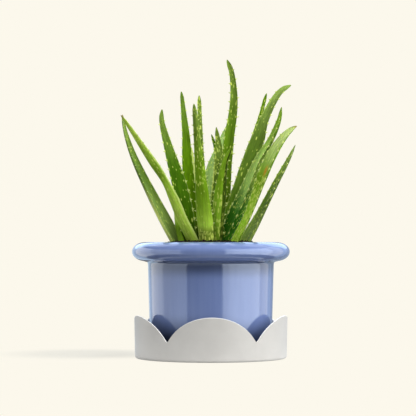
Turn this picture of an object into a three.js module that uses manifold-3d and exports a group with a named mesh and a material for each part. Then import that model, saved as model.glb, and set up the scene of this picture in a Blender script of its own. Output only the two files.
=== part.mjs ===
// A potted aloe: eighteen toothed leaves in soil, a glazed pot with a rolled rim, and a lobed metal tray.
// Millimetres, +Z up. The origin is the centre of the tray's underside, and the front looks towards -Y.
import * as THREE from "three";
import { mergeVertices } from "three/addons/utils/BufferGeometryUtils.js";
import Module from "manifold-3d";

const wasm = await Module();
wasm.setup();

// Tray: a round sheet metal dish whose wall rises in five round lobes
const TRAY_RADIUS = 76.4;
const TRAY_BASE_RADIUS = 75.7;
const TRAY_HEIGHT = 43.1;
const TRAY_SHEET = 1.3;
const TRAY_BEND = 2.4;
const TRAY_LOBES = 5;
const TRAY_TURN = 0.7;
const FRONT_LOBE_HALF_WIDTH = 51;
const LOBE_HALF_WIDTH = 55.4;
const LOBE_RISE = 45.3;
const NOTCH_ROUNDING = 10.5;
const TRAY_SEGMENTS = 104;

// Pot: a tapered cylinder with a thick rolled rim and a drain hole in its floor
const POT_TOP = 115.4;
const RIM_RADIUS = 78.8;
const RIM_HALF_HEIGHT = 9.4;
const RIM_OUTER_HALF_WIDTH = 13;
const RIM_INNER_HALF_WIDTH = 6;
const RIM_MOUTH_RADIUS = 56;
const BODY_TOP_RADIUS = 62.8;
const BODY_BASE_RADIUS = 60.3;
const POT_WALL = 6;
const POT_FLOOR = 7;
const POT_FOOT_BEND = 3;
const RIM_UNDERCUT_ANGLE = -80;
const RIM_FILLET = 0.8;
const RIM_FILLET_START = 4;
const RIM_FILLET_END = 1;
const INNER_RIM_DROP = 8;
const INNER_NECK_INSET = 1.2;
const DRAIN_RADIUS = 7;
const POT_SEGMENTS = 52;

// Soil: fills the pot and is heaped up to the rim around the leaves
const SOIL_CLEARANCE = 0.35;
const SOIL_EDGE = 107.5;
const SOIL_TOP = 116.4;
const HEAP_INNER_RADIUS = 38;
const SOIL_RING_RADII = [51.5, 47, 42.5, 38, 30, 22, 14, 7];
const SOIL_ROUGHNESS = 0.7;
const SOIL_SEGMENTS = 44;

// Leaves: the section is a shallow channel above a rounded back, with the teeth on its two margins
const LEAF_SECTION = [
  [1, -0.42],
  [0.66, 0.2],
  [0, 0.5],
  [-0.66, 0.2],
  [-1, -0.42],
  [0, -0.26],
];
const RIGHT_MARGIN = 0;
const LEFT_MARGIN = 4;
const THICKNESS_RATIO = 0.42;
const TIP_TAPER = 7;
const TIP_LENGTH = 2.6;
const HOLE_CLEARANCE = 0.7;
const HOLE_TOP = 119;

// Teeth: one on each margin for every step along the leaf, out of step with each other
const TOOTH_PITCH = 9.6;
const TOOTH_HEIGHT = 1.6;
const TOOTH_BASE = 2.1;
const TOOTH_ROOT = 1.1;
const TOOTH_LEAN = 0.45;
const SMALLEST_TOOTH_SIZE = 0.55;
const FULL_SIZE_LEAF_WIDTH = 9;
const LARGEST_ROOT_PART = 0.6;
const RIGHT_TOOTH_PLACE = 0.3;
const LEFT_TOOTH_PLACE = 0.72;
const FIRST_TOOTH_HEIGHT = 121;

// Each leaf has its midline from foot to tip, and its widths at equal steps along that line.
// faces is the direction of its rounded back in degrees: 0 is the front and 90 is the right.
const LEAVES = [
  {
    name: "leaf_outer_left",
    faces: -120,
    thick: 0.45,
    widths: [18, 17.5, 14, 9.4, 4.2],
    line: [
      [-27.9, -2, 103.4], [-36.2, -1.5, 117.4], [-57.5, 2, 157.4], [-76.7, 7, 197.4],
      [-84.2, 10, 217.9], [-87.7, 12.5, 231.4], [-89.6, 15, 244.4],
    ],
  },
  {
    name: "leaf_bent_left",
    faces: -55,
    widths: [15, 16, 15.5, 14.5, 10.4, 11.8, 9.6, 6.8, 4],
    line: [
      [-11.9, -13, 103.4], [-19.6, -16, 117.4], [-29.6, -20, 137.4], [-37.3, -25, 156.9],
      [-46.6, -30, 176.4], [-59.3, -35, 195.7], [-71.9, -41, 215], [-87.7, -50, 238.9],
    ],
  },
  {
    name: "leaf_short_left",
    faces: -60,
    widths: [9, 9, 7, 4, 1.8],
    line: [
      [-26.2, -14.5, 104.4], [-30.4, -11.5, 117.4], [-34.7, -7.3, 134.4],
      [-36.7, -6.3, 151.4],
    ],
  },
  {
    name: "leaf_broad_left",
    faces: -150,
    widths: [16, 18.5, 16.2, 9.9, 4.6],
    line: [
      [-18.8, -1.5, 103.4], [-22.4, -0.5, 117.4], [-29.2, 3, 157.4], [-35.4, 7, 182.4],
      [-44, 12, 212.9], [-50.2, 16, 239.4], [-49.5, 17, 249.9],
    ],
  },
  {
    name: "leaf_tall_left",
    faces: -160,
    widths: [13, 14, 12, 7.8, 3.8],
    line: [
      [-12.9, 10, 103.4], [-15.2, 12, 117.4], [-20.6, 20, 155.4], [-24.4, 29, 193.7],
      [-25.9, 38, 224], [-28.6, 50, 251.4], [-30.6, 58, 271.7],
    ],
  },
  {
    name: "leaf_pale_left",
    faces: -165,
    widths: [9, 9.5, 9, 6, 2.2],
    line: [
      [-14.4, 21, 103.4], [-14.9, 23, 117.4], [-16.9, 38, 160.4], [-20, 60, 214.2],
    ],
  },
  {
    name: "leaf_front",
    faces: -8,
    widths: [14, 15.8, 11.4, 7.2, 4],
    line: [
      [-3.4, -22, 101.4], [-4.4, -25, 117.4], [-8.4, -37, 156.4], [-11.8, -50, 195.1],
      [-16.5, -72, 248],
    ],
  },
  {
    name: "leaf_slim_middle",
    faces: 180,
    widths: [11, 11, 8.8, 5.4, 4],
    line: [
      [-3.4, 3, 103.4], [-3.9, 4, 117.4], [-7.4, 10, 155.4], [-10.1, 17, 193.4],
      [-10.9, 24, 229.4], [-12, 33, 265.4],
    ],
  },
  {
    name: "leaf_pale_back",
    faces: 165,
    widths: [10, 12, 12.5, 8.5, 2.4],
    line: [
      [-1.9, 21, 103.4], [-1.9, 23, 117.4], [-1.9, 32, 155.4], [1.1, 44, 189.6],
      [6.6, 51, 205.8], [12.7, 59, 224], [20.3, 68, 242.3],
    ],
  },
  {
    name: "leaf_inner",
    faces: 160,
    widths: [8, 11, 11.5, 9.5, 3.4],
    line: [
      [-0.9, -5.5, 103.4], [0.1, -5, 117.4], [4.6, -3.5, 147.4], [8.6, -2, 177.4],
      [9.1, 0, 202.4], [7.4, 1, 217.4], [5.4, 2, 230.8],
    ],
  },
  {
    name: "leaf_thin_inner",
    faces: 170,
    widths: [6, 5.5, 4.5, 3.6, 3],
    line: [
      [0.1, 13, 103.4], [0.6, 14, 117.4], [2.1, 15, 157.4], [4.1, 15, 182.4],
      [5.2, 16, 200.4], [4.2, 17, 212.4], [0.6, 18, 224.6],
    ],
  },
  {
    name: "leaf_curved_front",
    faces: 10,
    widths: [8.5, 11, 12.5, 8, 3],
    line: [
      [5.1, -18, 103.4], [6.8, -20, 117.4], [7.9, -25, 142.4], [10.9, -32, 176.4],
      [14.6, -38, 195.7], [20, -45, 208.1],
    ],
  },
  {
    name: "leaf_tallest",
    faces: 170,
    widths: [12, 13.4, 11.4, 8.6, 4.4],
    line: [
      [12.6, 16, 103.4], [13.1, 17, 117.4], [14.7, 20, 178.4], [18.6, 23, 218.4],
      [23.4, 25, 254.4], [23.1, 26, 274.4], [21, 27, 289.4], [16.4, 28, 301.4],
    ],
  },
  {
    name: "leaf_arched_right",
    faces: 150,
    widths: [15, 17, 17.5, 17.4, 17.6, 16.4, 10.6, 8.2, 4.6],
    line: [
      [9.4, 5, 103.4], [13.2, 5.5, 117.4], [26.9, 9, 157.4], [41, 13, 198.1],
      [48.2, 16, 218.2], [54.7, 18, 238.8], [64.4, 21, 259], [72.2, 23, 269.4],
      [81.6, 25, 275.2],
    ],
  },
  {
    name: "leaf_slim_right",
    faces: 140,
    widths: [9, 9, 8, 5.8, 4.2],
    line: [
      [15.6, 24, 103.4], [17.6, 26, 117.4], [24.6, 36, 158.4], [40.1, 48, 210.2],
      [51.7, 57, 245.9], [58.1, 64, 270.4],
    ],
  },
  {
    name: "leaf_toothed_right",
    faces: 112,
    thick: 0.6,
    widths: [12, 16.5, 19.2, 19.2, 15.5, 11, 8.6, 7, 3.6],
    line: [
      [10, -7.5, 103.4], [14.3, -10, 117.4], [23.2, -16, 137.4], [32.5, -21, 156.9],
      [40, -26, 176.4], [47.6, -32, 196.2], [59, -38, 215], [66.9, -44, 234.8],
      [68.8, -48, 246.9],
    ],
  },
  {
    name: "leaf_pale_right",
    faces: 125,
    thick: 0.45,
    widths: [11, 10.5, 10.2, 10.8, 12, 14.5, 14.2, 10.5, 4.6],
    line: [
      [18.2, -19, 103.4], [25, -23.5, 117.4], [35, -32.5, 137.4], [42.9, -40.5, 156.9],
      [50.3, -45.2, 176.9], [58.4, -45.8, 196.2], [70.3, -44.6, 216], [78.8, -44.6, 225.1],
      [83.8, -45, 228.6],
    ],
  },
  {
    name: "leaf_outer_right",
    faces: 115,
    thick: 0.45,
    widths: [17, 17, 15.5, 12.8, 11.5, 10.2, 8.6, 6, 3],
    line: [
      [27.8, -1, 103.4], [35.8, -1, 117.4], [47, 0, 137.4], [57.1, 1, 157.4],
      [67.5, 3, 177.9], [78, 4, 197.9], [85.1, 6, 213.4],
    ],
  },
];

const trayMetal = new THREE.MeshStandardMaterial({ color: 0xcecbc6, roughness: 0.6, metalness: 0.1 });
const potGlaze = new THREE.MeshStandardMaterial({ color: 0x7f93cf, roughness: 0.2, metalness: 0 });
const soilEarth = new THREE.MeshStandardMaterial({ color: 0x2c2118, roughness: 1, metalness: 0 });
const leafSkin = new THREE.MeshStandardMaterial({ color: 0x6c9436, roughness: 0.5, metalness: 0 });

// The geometry with its shared vertices merged, so that it is one closed surface
function closedGeometry(geometry) {
  const bare = geometry.clone();
  bare.deleteAttribute("normal");
  bare.deleteAttribute("uv");
  return mergeVertices(bare, 1e-4);
}

function toSolid(geometry) {
  const closed = closedGeometry(geometry);
  const vertProperties = new Float32Array(closed.attributes.position.array);
  const triVerts = new Uint32Array(closed.index.array);
  return new wasm.Manifold(new wasm.Mesh({ numProp: 3, vertProperties, triVerts }));
}

function toGeometry(solid) {
  const mesh = solid.getMesh();
  const geometry = new THREE.BufferGeometry();
  geometry.setAttribute("position", new THREE.BufferAttribute(new Float32Array(mesh.vertProperties), 3));
  geometry.setIndex(new THREE.BufferAttribute(new Uint32Array(mesh.triVerts), 1));
  return geometry;
}

// A profile of [radius, height] pairs turned about the Z axis
function turned(profile, segments) {
  const points = profile.map(([radius, height]) => new THREE.Vector2(radius, height));
  return new THREE.LatheGeometry(points, segments).rotateX(Math.PI / 2);
}

// How far the tray's wall drops below its lobe tops at an angle about the Z axis: the highest lobe counts,
// and the notch between two lobes is rounded
function lobeDrop(angle) {
  const lobe = (2 * Math.PI) / TRAY_LOBES;
  const fromFront = Math.abs(THREE.MathUtils.euclideanModulo(angle + 1.5 * Math.PI, 2 * Math.PI) - Math.PI);
  const drops = [0, 1, 2, 3].map((k) => {
    const halfWidth = k === 0 ? FRONT_LOBE_HALF_WIDTH : LOBE_HALF_WIDTH;
    const along = Math.min(1, (Math.abs(fromFront - k * lobe) * TRAY_RADIUS) / halfWidth);
    return LOBE_RISE * (1 - Math.sqrt(1 - along * along));
  });
  return drops.reduce((low, drop) => {
    const near = Math.max(0, 1 - Math.abs(low - drop) / NOTCH_ROUNDING);
    return Math.min(low, drop) - (near ** 3 * NOTCH_ROUNDING) / 6;
  });
}

function tray() {
  const flatRadius = TRAY_BASE_RADIUS - TRAY_BEND;
  const bendMiddle = TRAY_BEND * (1 - Math.SQRT1_2);
  const profile = [
    [0, 0],
    [flatRadius, 0],
    [TRAY_BASE_RADIUS - bendMiddle, bendMiddle],
    [TRAY_BASE_RADIUS, TRAY_BEND],
    [TRAY_RADIUS, TRAY_HEIGHT],
    [TRAY_RADIUS - TRAY_SHEET, TRAY_HEIGHT],
    [TRAY_BASE_RADIUS - TRAY_SHEET, TRAY_BEND],
    [flatRadius, TRAY_SHEET],
    [0, TRAY_SHEET],
  ];
  const geometry = turned(profile, TRAY_SEGMENTS).rotateZ(Math.PI / 2);
  const position = geometry.attributes.position;
  for (let i = 0; i < position.count; i += 1) {
    const isEdge = position.getZ(i) > TRAY_HEIGHT - TRAY_SHEET;
    if (isEdge) {
      const angle = Math.atan2(position.getY(i), position.getX(i));
      position.setZ(i, TRAY_HEIGHT - lobeDrop(angle));
    }
  }
  const mesh = new THREE.Mesh(closedGeometry(geometry), trayMetal);
  mesh.rotation.z = THREE.MathUtils.degToRad(TRAY_TURN);
  return mesh;
}

const potBase = TRAY_SHEET;
const rimCentreHeight = POT_TOP - RIM_HALF_HEIGHT;
const rimUnderside = rimCentreHeight - RIM_HALF_HEIGHT;
const wallTop = rimCentreHeight - INNER_RIM_DROP;
const floorTop = potBase + POT_FLOOR;
const innerTopRadius = BODY_TOP_RADIUS - POT_WALL;
const innerBaseRadius = BODY_BASE_RADIUS - POT_WALL;
const innerNeckRadius = innerTopRadius - INNER_NECK_INSET;

// Points on an arc of the rim's elliptical section as [radius, height] pairs, with the angles in degrees
function rimArc(centreRadius, halfWidth, from, to, steps) {
  return Array.from({ length: steps + 1 }, (_, i) => {
    const angle = THREE.MathUtils.degToRad(from + ((to - from) * i) / steps);
    return [centreRadius + halfWidth * Math.cos(angle), rimCentreHeight + RIM_HALF_HEIGHT * Math.sin(angle)];
  });
}

function pot() {
  const outerCentre = RIM_RADIUS - RIM_OUTER_HALF_WIDTH;
  const innerCentre = RIM_MOUTH_RADIUS + RIM_INNER_HALF_WIDTH;
  const outerRim = rimArc(outerCentre, RIM_OUTER_HALF_WIDTH, RIM_UNDERCUT_ANGLE, 90, 9);
  const innerRim = rimArc(innerCentre, RIM_INNER_HALF_WIDTH, 90, 180, 4);
  const profile = [
    [DRAIN_RADIUS, potBase],
    [BODY_BASE_RADIUS - POT_FOOT_BEND, potBase],
    [BODY_BASE_RADIUS, potBase + POT_FOOT_BEND],
    [BODY_TOP_RADIUS, rimUnderside - RIM_FILLET_START],
    [BODY_TOP_RADIUS + RIM_FILLET, rimUnderside - RIM_FILLET_END],
    ...outerRim,
    ...innerRim,
    [innerNeckRadius, wallTop],
    [innerBaseRadius, floorTop + POT_FOOT_BEND],
    [innerBaseRadius - POT_FOOT_BEND, floorTop],
    [DRAIN_RADIUS, floorTop],
    [DRAIN_RADIUS, potBase],
  ];
  return new THREE.Mesh(closedGeometry(turned(profile, POT_SEGMENTS)), potGlaze);
}

// Uneven ground from a few crossed waves
function roughness(x, y) {
  const coarse = Math.sin(0.41 * x + 1.3) * Math.sin(0.37 * y - 0.6);
  const fine = Math.sin(0.93 * x - 0.71 * y) + Math.sin(0.67 * x + 1.07 * y + 2);
  return SOIL_ROUGHNESS * (coarse + 0.4 * fine);
}

function soilHeight(radius) {
  const heap = 1 - THREE.MathUtils.smoothstep(radius, HEAP_INNER_RADIUS, RIM_MOUTH_RADIUS);
  return SOIL_EDGE + (SOIL_TOP - SOIL_EDGE) * heap;
}

function soilBody() {
  const edgeRadius = RIM_MOUTH_RADIUS - SOIL_CLEARANCE;
  const surface = [edgeRadius, ...SOIL_RING_RADII].map((radius) => [radius, soilHeight(radius)]);
  const profile = [
    [0, floorTop],
    [innerBaseRadius - POT_FOOT_BEND - SOIL_CLEARANCE, floorTop],
    [innerBaseRadius - SOIL_CLEARANCE, floorTop + POT_FOOT_BEND],
    [innerNeckRadius - SOIL_CLEARANCE, wallTop],
    [edgeRadius, rimCentreHeight],
    ...surface,
    [0, soilHeight(0)],
  ];
  const geometry = turned(profile, SOIL_SEGMENTS);
  const position = geometry.attributes.position;
  for (let i = 0; i < position.count; i += 1) {
    const isSurface = position.getZ(i) > rimCentreHeight + SOIL_CLEARANCE;
    if (isSurface) {
      const lift = roughness(position.getX(i), position.getY(i));
      position.setZ(i, position.getZ(i) + lift);
    }
  }
  return toSolid(geometry);
}

// The midline, the width and the directions of one leaf at any part t of its length
class Leaf {
  constructor({ faces, thick = THICKNESS_RATIO, widths, line }) {
    this.line = new THREE.CatmullRomCurve3(line.map((point) => new THREE.Vector3(...point)));
    this.widths = new THREE.SplineCurve(widths.map((width, i) => new THREE.Vector2(i, width)));
    this.thick = thick;
    const turn = THREE.MathUtils.degToRad(faces);
    this.outward = new THREE.Vector3(Math.sin(turn), -Math.cos(turn), 0);
    this.length = this.line.getLength();
  }

  // The parts of the length at which the leaf has a ring of points
  places() {
    const steps = Math.round(this.length / TOOTH_PITCH);
    return Array.from({ length: steps }, (_, k) => k / steps);
  }

  frame(t) {
    const at = this.line.getPointAt(t);
    const along = this.line.getTangentAt(t);
    const back = this.outward.clone().addScaledVector(along, -this.outward.dot(along)).normalize();
    const side = new THREE.Vector3().crossVectors(along, back);
    return { at, along, back, side };
  }

  width(t) {
    const toTip = (1 - t) * this.length;
    return this.widths.getPoint(t).y * Math.sqrt(Math.min(1, toTip / TIP_TAPER));
  }

  ring(t, clearance = 0) {
    const { at, back, side } = this.frame(t);
    const halfWidth = this.width(t) / 2 + clearance;
    const thickness = this.width(t) * this.thick + 2 * clearance;
    return LEAF_SECTION.map(([across, through]) =>
      at.clone().addScaledVector(side, across * halfWidth).addScaledVector(back, through * thickness));
  }
}

// A closed surface that is built from rings of points
class Surface {
  constructor() {
    this.points = [];
    this.faces = [];
  }

  add(point) {
    this.points.push(point);
    return this.points.length - 1;
  }

  addRing(points) {
    return points.map((point) => this.add(point));
  }

  // The end of the surface: a fan from its last ring to one point
  close(ring, point, isTop) {
    const end = this.add(point);
    ring.forEach((corner, i) => {
      const next = ring[(i + 1) % ring.length];
      this.faces.push(end, isTop ? next : corner, isTop ? corner : next);
    });
  }

  quad(lower, upper, i) {
    const next = (i + 1) % lower.length;
    this.faces.push(lower[i], upper[i], lower[next]);
    this.faces.push(lower[next], upper[i], upper[next]);
  }

  geometry() {
    const geometry = new THREE.BufferGeometry().setFromPoints(this.points);
    geometry.setIndex(this.faces);
    return geometry;
  }
}

function centreOf(points) {
  return points.reduce((sum, point) => sum.add(point), new THREE.Vector3()).divideScalar(points.length);
}

// A tooth on one margin between two rings: a four sided point that grows out of the two faces beside it.
// at is its place between the rings, from 0 to 1.
function addTooth(surface, leaf, lower, upper, margin, t, at) {
  const count = lower.length;
  const before = (margin + count - 1) % count;
  const after = (margin + 1) % count;
  const pointOf = (index) => surface.points[index];
  const between = (index, part) => pointOf(lower[index]).clone().lerp(pointOf(upper[index]), part);
  const { along, side } = leaf.frame(t);
  const fullness = Math.min(1, leaf.width(t) / FULL_SIZE_LEAF_WIDTH);
  const size = THREE.MathUtils.lerp(SMALLEST_TOOTH_SIZE, 1, fullness);
  const span = pointOf(lower[margin]).distanceTo(pointOf(upper[margin]));
  const halfBase = (TOOTH_BASE * size) / 2 / span;
  const middle = between(margin, at);
  const root = (index) => {
    const inward = between(index, at).sub(middle);
    const depth = Math.min(TOOTH_ROOT * size, inward.length() * LARGEST_ROOT_PART);
    return surface.add(middle.clone().addScaledVector(inward.normalize(), depth));
  };
  const point = middle.clone().addScaledVector(side, LEAF_SECTION[margin][0] * TOOTH_HEIGHT * size);
  point.addScaledVector(along, TOOTH_LEAN * TOOTH_HEIGHT * size);
  const low = surface.add(between(margin, at - halfBase));
  const high = surface.add(between(margin, at + halfBase));
  const rootBefore = root(before);
  const rootAfter = root(after);
  const tip = surface.add(point);
  surface.faces.push(lower[before], upper[before], rootBefore);
  surface.faces.push(upper[before], upper[margin], high);
  surface.faces.push(upper[before], high, rootBefore);
  surface.faces.push(lower[before], rootBefore, low);
  surface.faces.push(lower[before], low, lower[margin]);
  surface.faces.push(lower[margin], low, lower[after]);
  surface.faces.push(low, rootAfter, lower[after]);
  surface.faces.push(rootAfter, upper[after], lower[after]);
  surface.faces.push(rootAfter, high, upper[after]);
  surface.faces.push(high, upper[margin], upper[after]);
  surface.faces.push(low, rootBefore, tip);
  surface.faces.push(rootBefore, high, tip);
  surface.faces.push(rootAfter, low, tip);
  surface.faces.push(high, rootAfter, tip);
}

function leafMesh(leaf) {
  const surface = new Surface();
  const places = [...leaf.places(), 1 - TIP_LENGTH / leaf.length];
  const rings = places.map((t) => surface.addRing(leaf.ring(t)));
  surface.close(rings[0], leaf.line.getPointAt(0), false);
  surface.close(rings.at(-1), leaf.line.getPointAt(1), true);
  for (let k = 0; k < rings.length - 1; k += 1) {
    const lower = rings[k];
    const upper = rings[k + 1];
    const hasTeeth = leaf.line.getPointAt(places[k]).z > FIRST_TOOTH_HEIGHT && k < rings.length - 2;
    const plain = hasTeeth ? [1, 2] : [0, 1, 2, 3, 4, 5];
    plain.forEach((i) => surface.quad(lower, upper, i));
    if (hasTeeth) {
      const middle = (places[k] + places[k + 1]) / 2;
      addTooth(surface, leaf, lower, upper, RIGHT_MARGIN, middle, RIGHT_TOOTH_PLACE);
      addTooth(surface, leaf, lower, upper, LEFT_MARGIN, middle, LEFT_TOOTH_PLACE);
    }
  }
  return new THREE.Mesh(surface.geometry(), leafSkin);
}

// The plain hole that a leaf's foot stands in, a little wider than the leaf
function leafHole(leaf) {
  const surface = new Surface();
  const places = leaf.places();
  const above = places.findIndex((t) => leaf.line.getPointAt(t).z > HOLE_TOP);
  const rings = places.slice(0, above + 1).map((t) => leaf.ring(t, HOLE_CLEARANCE));
  const { along } = leaf.frame(0);
  rings[0].forEach((point) => point.addScaledVector(along, -HOLE_CLEARANCE));
  const indices = rings.map((ring) => surface.addRing(ring));
  surface.close(indices[0], centreOf(rings[0]), false);
  surface.close(indices.at(-1), centreOf(rings.at(-1)), true);
  for (let k = 0; k < rings.length - 1; k += 1) {
    LEAF_SECTION.forEach((_, i) => surface.quad(indices[k], indices[k + 1], i));
  }
  return toSolid(surface.geometry());
}

function soil(leaves) {
  const solid = leaves.reduce((body, leaf) => body.subtract(leafHole(leaf)), soilBody());
  return new THREE.Mesh(toGeometry(solid), soilEarth);
}

const leaves = LEAVES.map((values) => new Leaf(values));
const plant = new THREE.Group();

function place(name, mesh) {
  mesh.name = name;
  plant.add(mesh);
}

place("tray", tray());
place("pot", pot());
place("soil", soil(leaves));
leaves.forEach((leaf, i) => place(LEAVES[i].name, leafMesh(leaf)));

export default plant;
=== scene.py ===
"""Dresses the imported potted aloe: toothed leaves, glazed pot, lobed metal tray, soil and studio."""
import math

import bmesh
import bpy
import numpy as np
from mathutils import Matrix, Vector


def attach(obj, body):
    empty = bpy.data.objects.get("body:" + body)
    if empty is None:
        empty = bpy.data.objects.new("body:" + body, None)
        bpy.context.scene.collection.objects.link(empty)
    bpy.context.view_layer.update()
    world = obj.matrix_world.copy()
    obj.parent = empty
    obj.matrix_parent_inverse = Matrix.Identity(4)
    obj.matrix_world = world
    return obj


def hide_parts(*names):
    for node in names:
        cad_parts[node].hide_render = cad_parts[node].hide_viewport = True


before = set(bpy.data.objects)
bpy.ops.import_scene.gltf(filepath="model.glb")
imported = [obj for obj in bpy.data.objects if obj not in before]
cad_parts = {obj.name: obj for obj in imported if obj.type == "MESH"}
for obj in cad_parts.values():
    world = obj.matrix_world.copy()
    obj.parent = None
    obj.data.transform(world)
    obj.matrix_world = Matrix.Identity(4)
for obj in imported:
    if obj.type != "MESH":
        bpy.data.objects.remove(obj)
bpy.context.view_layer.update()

MM = 0.001

# Tray: sheet metal with a wall of five round lobes, in millimetres
TRAY_RADIUS = 76.4
TRAY_BASE_RADIUS = 75.7
TRAY_HEIGHT = 43.1
TRAY_SHEET = 1.3
TRAY_BEND = 2.4
TRAY_LOBES = 5
TRAY_TURN = 0.7
FRONT_LOBE_HALF_WIDTH = 51
LOBE_HALF_WIDTH = 55.4
LOBE_RISE = 45.3
NOTCH_ROUNDING = 10.5
TRAY_EDGE_ROUNDING = 0.6
# The band under the top edge that has a painted highlight
EDGE_HIGHLIGHT_BAND = 0.8
TRAY_AROUND = 400

# Pot: a tapered cylinder under a thick rolled rim
POT_BASE = 1.3
POT_TOP = 115.4
RIM_RADIUS = 78.7
RIM_HALF_HEIGHT = 9.4
RIM_OUTER_HALF_WIDTH = 13
RIM_INNER_HALF_WIDTH = 6
RIM_MOUTH_RADIUS = 56
RIM_UNDERCUT_ANGLE = -80
BODY_TOP_RADIUS = 62.8
BODY_BASE_RADIUS = 60.3
POT_WALL = 6
POT_FLOOR = 7
POT_FOOT_BEND = 3
RIM_FILLET = 0.8
RIM_FILLET_START = 4
RIM_FILLET_END = 1
INNER_RIM_DROP = 8
INNER_NECK_INSET = 1.2
DRAIN_RADIUS = 7
POT_AROUND = 192
THROWING_WOBBLE = 0.1
FILLET_BULGE = 0.15
FILLET_MIDDLE = 2.4

# Painted shade in the glaze over the pot's height, in metres: under the rim and at the foot
CORNER_SHADE_START = (0.078, 0.0925)
CORNER_SHADE_END = (0.0945, 0.098)
FOOT_SHADE = (0.016, 0.048)
FOOT_SHADE_TILT = 0.13

# Soil: fills the pot and is heaped around the leaves
SOIL_CLEARANCE = 0.35
SOIL_EDGE = 107.5
SOIL_TOP = 116
HEAP_INNER_RADIUS = 38
SOIL_AROUND = 160
SOIL_LUMPS = 0.9
CRUMB_RADIUS = 0.95
CRUMBS_PER_SQUARE_METRE = 330000
CRUMB_SEED = 7
CRUMB_SIZES = ((0.35, 0.3, 0.25), (1.35, 1.0, 0.75))
SOIL_RINGS = 44

# Leaves: a shallow channel on the inner face and a rounded back, toothed on both margins
MARGIN_THROUGH = -0.42
BACK_HEIGHT = 0.92
CHANNEL_RISE = 0.16
BACK_FULLNESS = 1.55
THICKNESS_RATIO = 0.42
TIP_TAPER = 7
LEAF_AROUND = 32
LEAF_STEP = 1.6
TIP_STEPS = 10
PATTERN_SHIFT = 7.3
CURVE_SAMPLES = 900

# Teeth: one on each margin for every step along the leaf
TOOTH_PITCH = 9.6
TOOTH_HEIGHT = 2.2
TOOTH_BASE = 1.4
TOOTH_LEAN = 0.8
TOOTH_SIDES = 8
TOOTH_RINGS = 5
TOOTH_ROOT_REACH = 0.485
TOOTH_SEED = 3
SMALLEST_TOOTH_SIZE = 0.55
FULL_SIZE_LEAF_WIDTH = 9
RIGHT_TOOTH_PLACE = 0.3
LEFT_TOOTH_PLACE = 0.72
FIRST_TOOTH_HEIGHT = 121

# Camera: as high as the pot's rim, in millimetres, and its frame in pixels
IMAGE_SIZE = 416
CAMERA_DISTANCE = 1700
CAMERA_HEIGHT = 111
AXIS_COLUMN = 210.9
LEVEL_ROW = 246.6
PIXELS_AT_AXIS = 1700


def hexed(code):
    """The linear colour of a six digit screen colour."""
    channels = [int(code[i:i + 2], 16) / 255 for i in (0, 2, 4)]
    return tuple(c / 12.92 if c <= 0.04045 else ((c + 0.055) / 1.055) ** 2.4 for c in channels) + (1,)


def grey(level):
    return (level,) * 3 + (1,)


GREENS = {name: hexed(code) for name, code in {"shade": "2c6410", "moss": "3e6502", "grass": "587f04",
    "leaf": "5c7f16", "deep_olive": "567222", "olive": "708b34", "meadow": "6f9719", "fresh": "80a828",
    "lime": "9acc35", "milky": "9cc15f", "grey": "7e9846", "sage": "93b363", "spring": "b2d64c",
    "pale_sage": "abbf73", "pale": "bad06e", "yellow": "cbd872", "tooth_spot": "d8e68c"}.items()}
TOOTH_SPOT = GREENS["tooth_spot"]
CREAM = hexed("fcf8ec")
FLECK = hexed("d2e268")
DRY_BROWN = hexed("7d5a2a")
RUST = hexed("c4761c")
HORN = hexed("d6e490")
GLAZE_BLUE = hexed("7487b9")
GLAZE_DEEP = hexed("6a7db1")
GLAZE_SHEEN = hexed("dcebff")
GLAZE_SPECK = hexed("c9d3ee")
TRAY_GREY = hexed("cdcbc6")
TRAY_DARK = hexed("c6c4bf")
TRAY_PALE = hexed("d6d5d0")
# The painted highlight along the tray's top edge
TRAY_EDGE_HIGHLIGHT = hexed("fdfdfb")
SOIL_DARK = hexed("17100a")
SOIL_LIGHT = hexed("33261a")
SOIL_FIBRE = hexed("75593a")
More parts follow.
